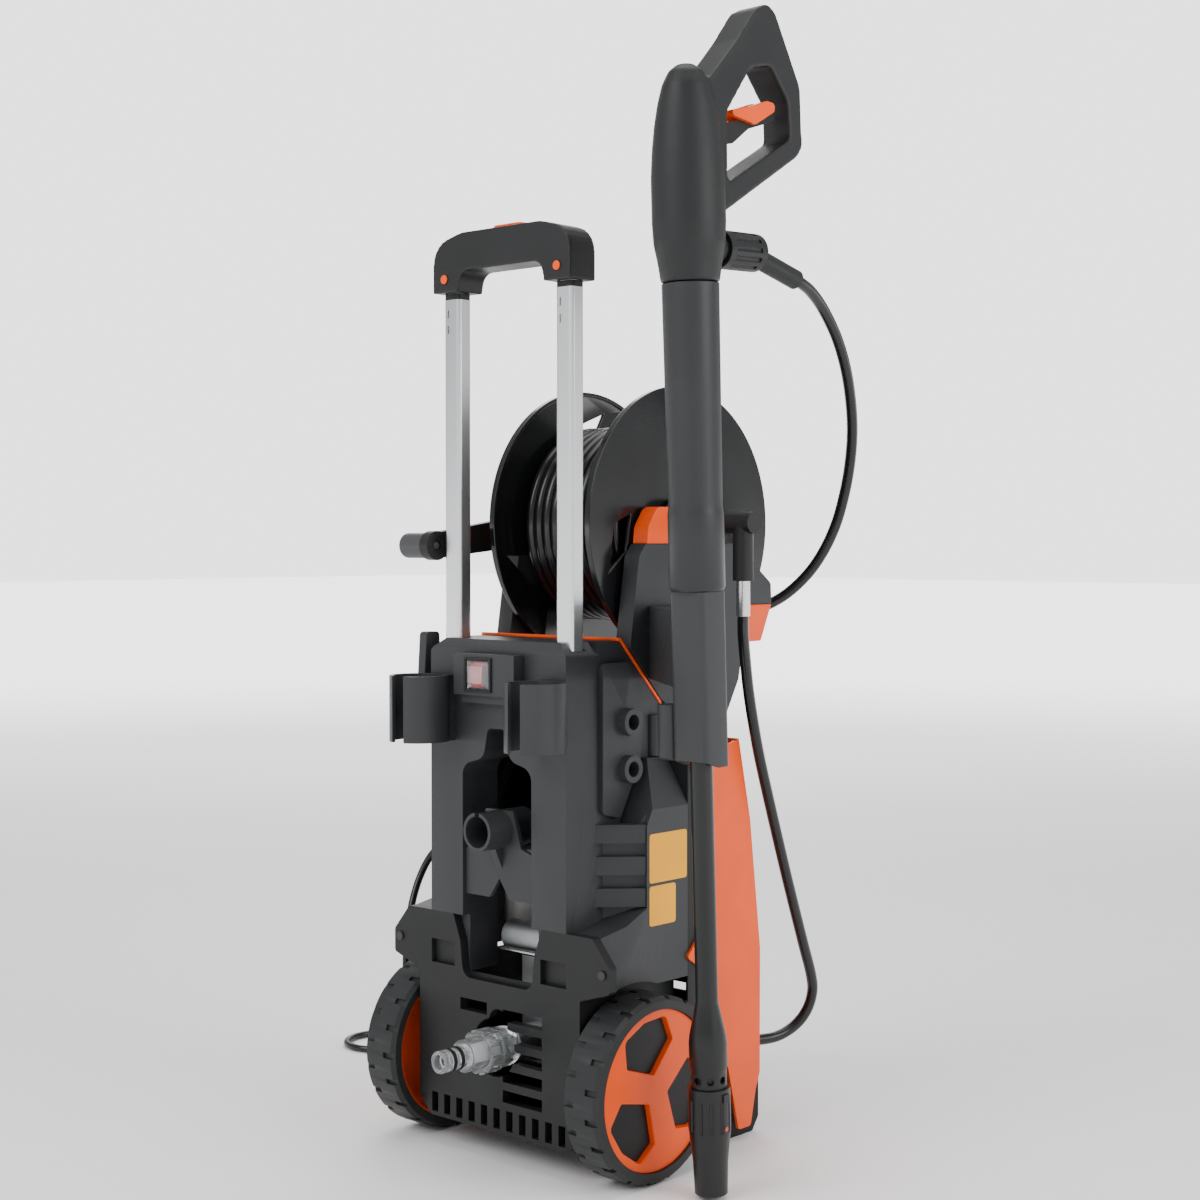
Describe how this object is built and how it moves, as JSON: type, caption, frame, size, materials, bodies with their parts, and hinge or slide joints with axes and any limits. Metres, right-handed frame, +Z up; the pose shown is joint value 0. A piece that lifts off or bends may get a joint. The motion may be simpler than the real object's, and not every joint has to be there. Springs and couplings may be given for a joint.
{
  "type": "pressure washer",
  "caption": "Upright electric pressure washer on wheels with telescopic mast, hose reel with crank, spray gun in a side holder and clear water inlet.",
  "frame": {"origin": "on the floor under the middle of the wheel axle", "axes": "+X to the machine's right seen from behind, +Y to its front, +Z up"},
  "size_m": [0.7319, 0.588, 1.1175],
  "materials": {
    "case_grey": "moulded grey plastic with a fine grain",
    "case_black": "moulded near-black plastic with a fine grain",
    "orange": "semi-gloss orange plastic",
    "reel_black": "smooth black plastic",
    "barrel_grey": "smooth dark grey plastic",
    "lance_black": "black plastic, slightly glossy",
    "knob_grey": "grey plastic",
    "aluminium": "satin anodised aluminium",
    "steel": "zinc-plated steel",
    "alloy": "cast alloy",
    "copper": "wound copper and laminations",
    "collar_black": "black plastic",
    "rubber": "black rubber",
    "tyre": "hard black tyre plastic with moulded tread",
    "hose": "black high-pressure hose",
    "clear": "clear plastic",
    "filter": "white filter mesh",
    "switch_red": "red rocker",
    "capacitor": "off-white plastic can"
  },
  "bodies": {
    "case": {"rear_housing": "case_grey", "lower_housing": "case_black", "front_housing": "case_black", "front_panel": "orange", "top_trim": "orange", "front_feet": "rubber", "wheel_axle": "steel", "switch_box": "case_grey", "nozzle_rack": "case_grey", "lance_holder": "case_grey", "accessory_clips": "case_grey", "cord_hook": "case_grey", "accessory_socket": "case_grey", "reel_bracket_left": "case_grey", "reel_bracket_right": "case_grey", "reel_trim": "orange", "inlet_connector": "clear", "inlet_nut": "clear", "inlet_filter": "filter", "inlet_o_rings": "rubber", "motor_shell": "alloy", "pump_body": "alloy", "pump_head": "alloy", "capacitor": "capacitor", "water_pipes": "steel", "housing_screws": "steel", "cord_gland": "collar_black", "power_cord": "hose", "power_cord_coil": "hose", "power_plug": "collar_black", "link_hose": "hose", "hose_ferrules": "steel", "reel_elbow": "case_black", "gun_hose": "hose"},
    "motor_rotor": {"motor_rotor": "copper"},
    "mast": {"mast_tubes": "aluminium", "mast_collars": "collar_black"},
    "grip": {"grip_tubes": "aluminium", "grip": "case_black", "grip_rivets": "orange"},
    "release_button": {"release_button": "orange"},
    "switch_rocker": {"switch_rocker": "switch_red"},
    "reel": {"reel_flange_left": "reel_black", "reel_flange_right": "reel_black", "reel_drum": "reel_black", "wound_hose": "hose", "crank_arm": "case_black"},
    "crank_knob": {"crank_knob": "knob_grey"},
    "gun": {"gun_shell": "case_black", "gun_barrel": "barrel_grey", "lance_tube": "lance_black", "gun_hose_nut": "case_black"},
    "trigger": {"trigger": "case_black"},
    "trigger_lock": {"trigger_lock": "orange"},
    "nozzle_sleeve": {"nozzle_sleeve": "lance_black"},
    "wheel_left": {"tyre_left": "tyre", "hub_left": "orange"},
    "wheel_right": {"tyre_right": "tyre", "hub_right": "orange"}
  },
  "joints": [
    {"name": "wheel_left_spin", "type": "hinge", "parent": "case", "child": "wheel_left", "pos_m": [-0.14, 0, 0.09], "axis": [1, 0, 0], "continuous": true},
    {"name": "wheel_right_spin", "type": "hinge", "parent": "case", "child": "wheel_right", "pos_m": [0.14, 0, 0.09], "axis": [1, 0, 0], "continuous": true},
    {"name": "motor_spin", "type": "hinge", "parent": "case", "child": "motor_rotor", "pos_m": [0, 0.076, 0.3], "axis": [0, 0, 1], "continuous": true},
    {"name": "mast_slide", "type": "slide", "parent": "case", "child": "mast", "axis": [0, 0, 1], "range_m": [-0.29, 0]},
    {"name": "grip_slide", "type": "slide", "parent": "mast", "child": "grip", "axis": [0, 0, 1], "range_m": [0, 0.2]},
    {"name": "release_press", "type": "slide", "parent": "grip", "child": "release_button", "axis": [0, 0, -1], "range_m": [0, 0.0035], "stiffness_N_per_m": 400, "springref_m": -0.002},
    {"name": "switch_rock", "type": "hinge", "parent": "case", "child": "switch_rocker", "pos_m": [-0.011, -0.064, 0.4835], "axis": [1, 0, 0], "range_deg": [-10, 0]},
    {"name": "reel_spin", "type": "hinge", "parent": "case", "child": "reel", "pos_m": [0, 0.142, 0.633], "axis": [1, 0, 0], "continuous": true},
    {"name": "crank_knob_spin", "type": "hinge", "parent": "reel", "child": "crank_knob", "pos_m": [-0.13, -0.0446, 0.61009], "axis": [1, 0, 0], "continuous": true},
    {"name": "gun_lift", "type": "slide", "parent": "case", "child": "gun", "axis": [0, -0.0384, 0.9993], "range_m": [0, 0.18], "deforming": ["gun_hose"]},
    {"name": "trigger_pull", "type": "hinge", "parent": "gun", "child": "trigger", "pos_m": [0.222, -0.00395, 0.98838], "axis": [1, 0, 0], "range_deg": [0, 9], "stiffness_Nm_per_rad": 0.6, "springref_deg": -5.73},
    {"name": "trigger_lock_flip", "type": "hinge", "parent": "trigger", "child": "trigger_lock", "pos_m": [0.222, 0.05434, 1.00814], "axis": [1, 0, 0], "range_deg": [-18, 0]},
    {"name": "nozzle_turn", "type": "hinge", "parent": "gun", "child": "nozzle_sleeve", "pos_m": [0.222, 0.0027, 0.05996], "axis": [0, -0.0384, 0.9993], "range_deg": [0, 90]}
  ]
}
